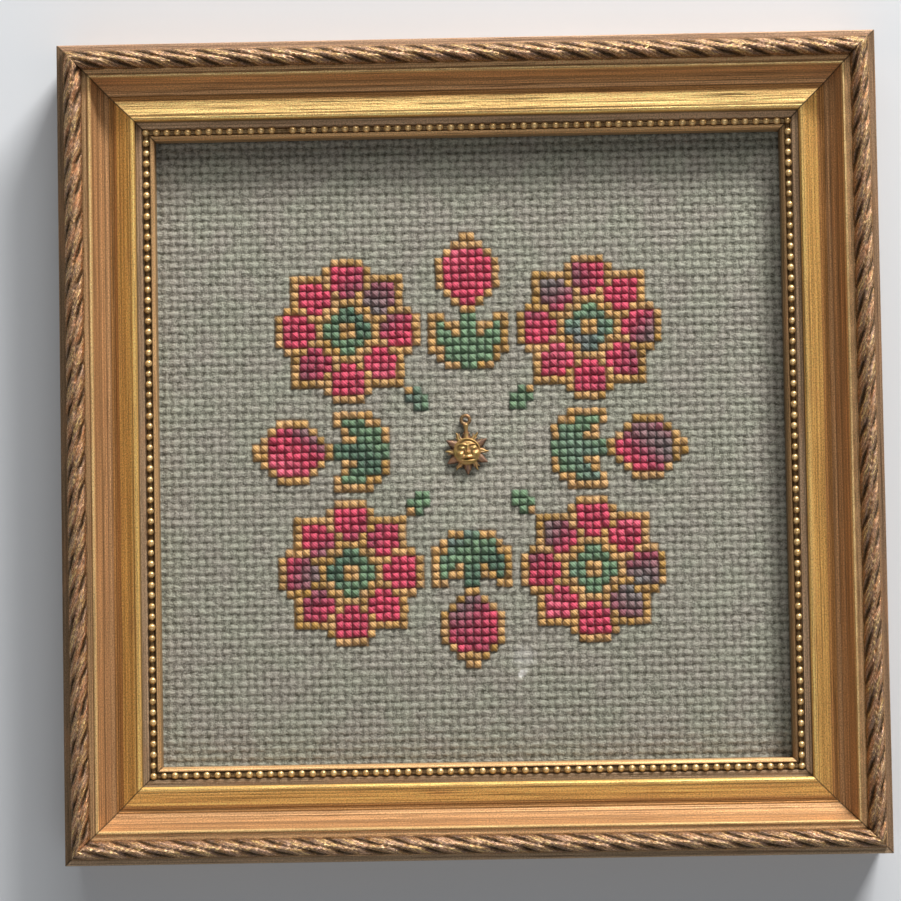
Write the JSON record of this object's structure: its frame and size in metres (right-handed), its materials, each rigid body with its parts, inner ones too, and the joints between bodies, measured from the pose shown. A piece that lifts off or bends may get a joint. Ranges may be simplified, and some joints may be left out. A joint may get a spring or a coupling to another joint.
{
  "type": "cross stitch embroidery in a picture frame",
  "caption": "Square evenweave cloth with a cross-stitched rose and leaf design and a small metal sun charm, set in a gilded wood picture frame with a rope edge and a line of beads.",
  "frame": {"origin": "middle of the frame's back, on the surface that it lies on", "axes": "+X to the picture's right, +Y up the picture, +Z out of the picture's face"},
  "size_m": [0.1824, 0.1824, 0.0188],
  "materials": {
    "gilded_wood": "worn gilding over carved wood, satin",
    "rope_edge": "worn gilding, dark in the grooves",
    "bead_line": "worn gilding, satin",
    "evenweave_cloth": "cotton evenweave, matte",
    "backing_board": "plain board, matte",
    "rose_thread": "stranded cotton, soft sheen",
    "green_thread": "stranded cotton, soft sheen",
    "charm_metal": "antiqued, dark in the recesses"
  },
  "bodies": {
    "root": {"rail_top": "gilded_wood", "rail_left": "gilded_wood", "rail_bottom": "gilded_wood", "rail_right": "gilded_wood", "rope_top": "rope_edge", "rope_left": "rope_edge", "rope_bottom": "rope_edge", "rope_right": "rope_edge", "beads_top": "bead_line", "beads_left": "bead_line", "beads_bottom": "bead_line", "beads_right": "bead_line", "cloth": "evenweave_cloth", "backing_board": "backing_board", "rose_upper_right": "rose_thread", "rose_upper_left": "rose_thread", "rose_lower_left": "rose_thread", "rose_lower_right": "rose_thread", "leaf_upper_right": "green_thread", "leaf_upper_left": "green_thread", "leaf_lower_left": "green_thread", "leaf_lower_right": "green_thread", "spray_top": "green_thread", "spray_left": "green_thread", "spray_bottom": "green_thread", "spray_right": "green_thread", "sun_charm": "charm_metal"}
  },
  "joints": []
}
